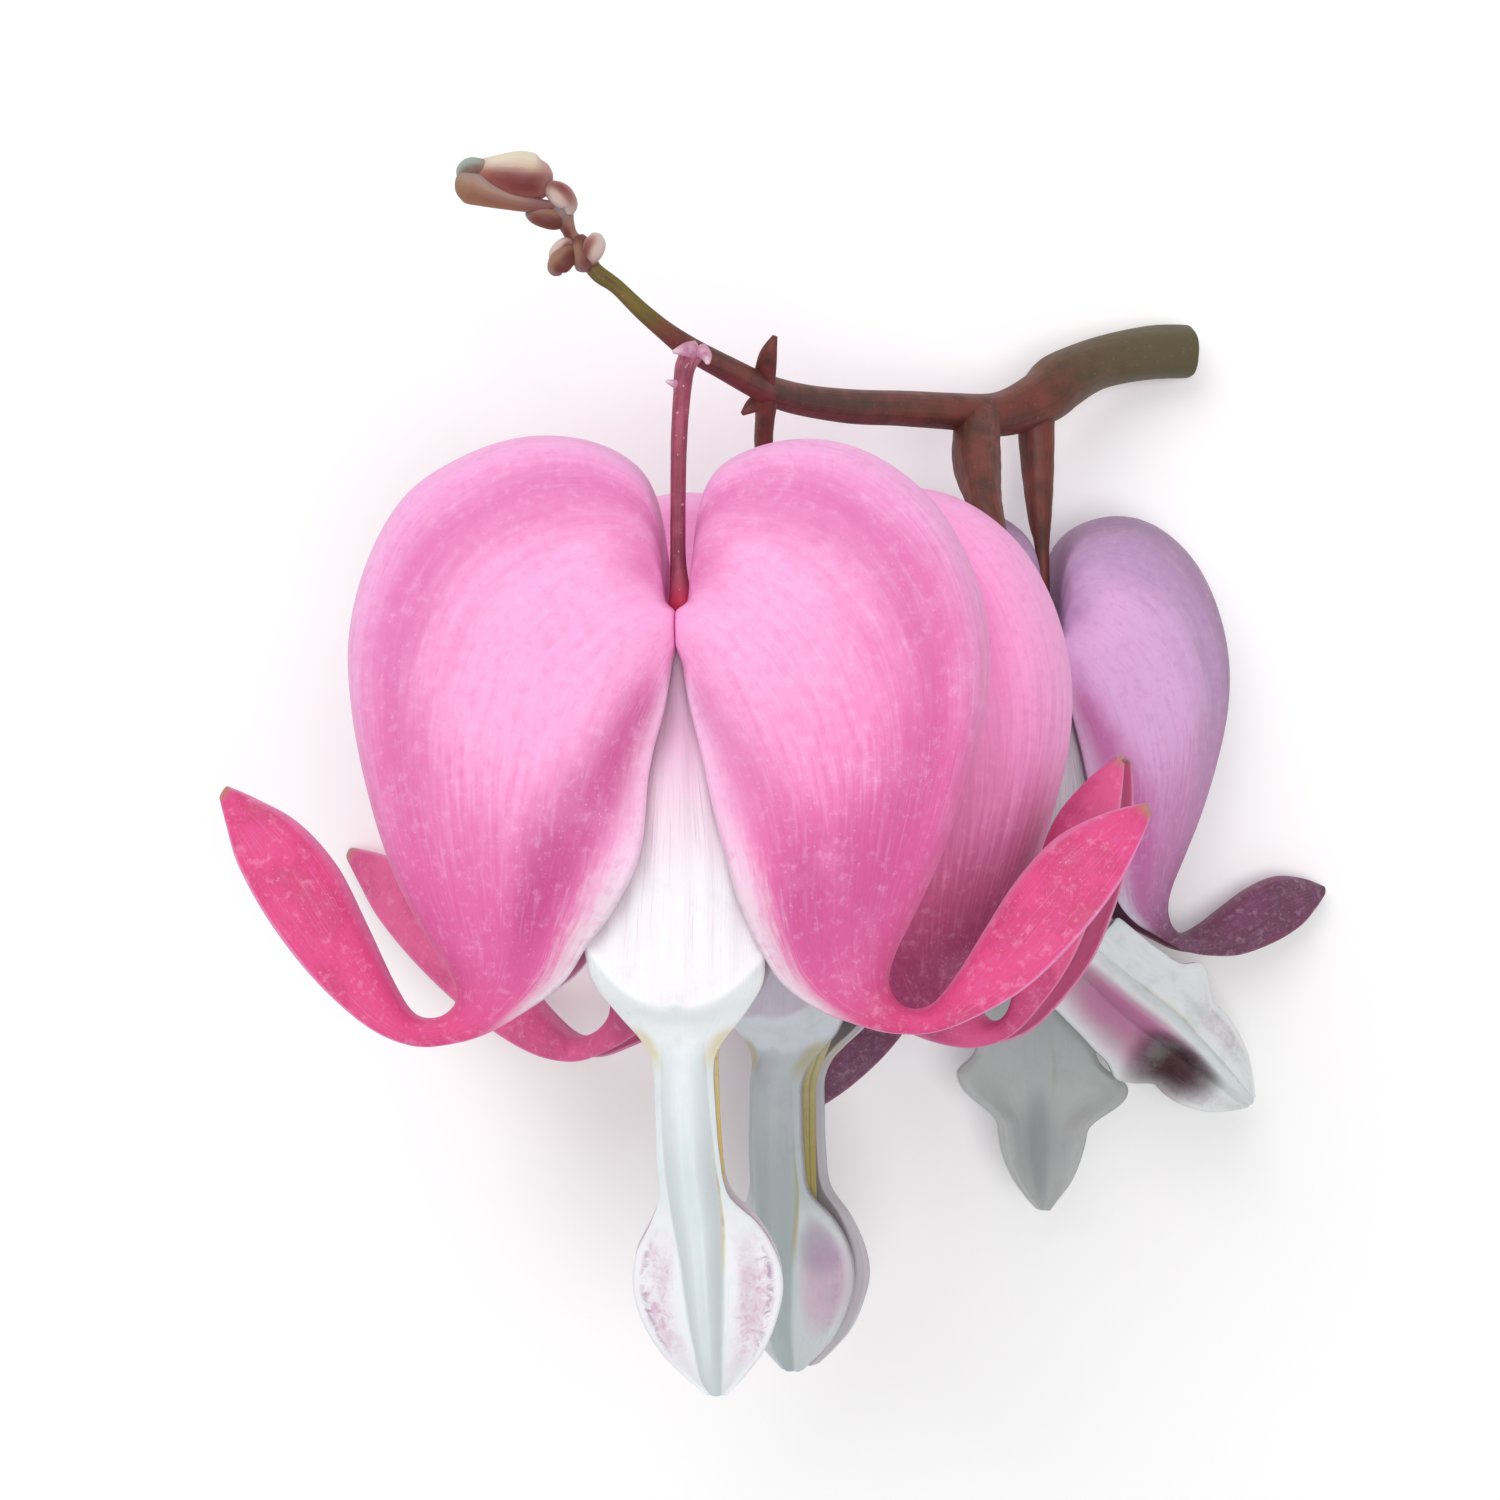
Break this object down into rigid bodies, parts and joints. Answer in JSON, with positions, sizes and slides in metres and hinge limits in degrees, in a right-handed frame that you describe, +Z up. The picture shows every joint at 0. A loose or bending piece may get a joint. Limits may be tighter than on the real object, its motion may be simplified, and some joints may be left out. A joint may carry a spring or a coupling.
{
  "type": "bleeding heart flower spray",
  "caption": "Cut flowering spray of bleeding heart: an arching maroon stalk with hanging pink heart-shaped blooms, white inner petals and a cluster of buds at its tip",
  "frame": {"origin": "on the surface the spray lies on, below the centre of its bounding box", "axes": "+X right across the face of the blooms, +Y from the bloom tips towards the stalk, +Z up from the surface, out of the face of the front bloom"},
  "size_m": [0.0434, 0.0448, 0.0259],
  "materials": {
    "stem_maroon": "matt brown maroon stalk, greener towards the cut end",
    "bud_rose": "satin pinkish brown young buds",
    "petal_pink": "satin bright pink petal with fine veins",
    "petal_rose": "satin rose pink petal",
    "petal_mauve": "satin mauve pink petal",
    "petal_white": "satin white petal with faint pink marks",
    "petal_pale": "satin pale grey green petal with maroon marks",
    "stamen_yellow": "matt pale yellow stamens"
  },
  "bodies": {
    "root": {"stem": "stem_maroon", "bud_cluster": "bud_rose", "bloom1_outer_petal_left": "petal_pink", "bloom1_outer_petal_right": "petal_pink", "bloom1_inner_petal_front": "petal_white", "bloom1_inner_petal_back": "petal_white", "bloom1_stamens": "stamen_yellow", "bloom2_outer_petal_left": "petal_rose", "bloom2_outer_petal_right": "petal_rose", "bloom2_inner_petal_front": "petal_white", "bloom2_inner_petal_back": "petal_white", "bloom2_stamens": "stamen_yellow", "bloom3_outer_petal_left": "petal_mauve", "bloom3_outer_petal_right": "petal_mauve", "bloom3_inner_petal_front": "petal_pale", "bloom3_inner_petal_back": "petal_pale", "bloom3_stamens": "stamen_yellow"}
  },
  "joints": []
}
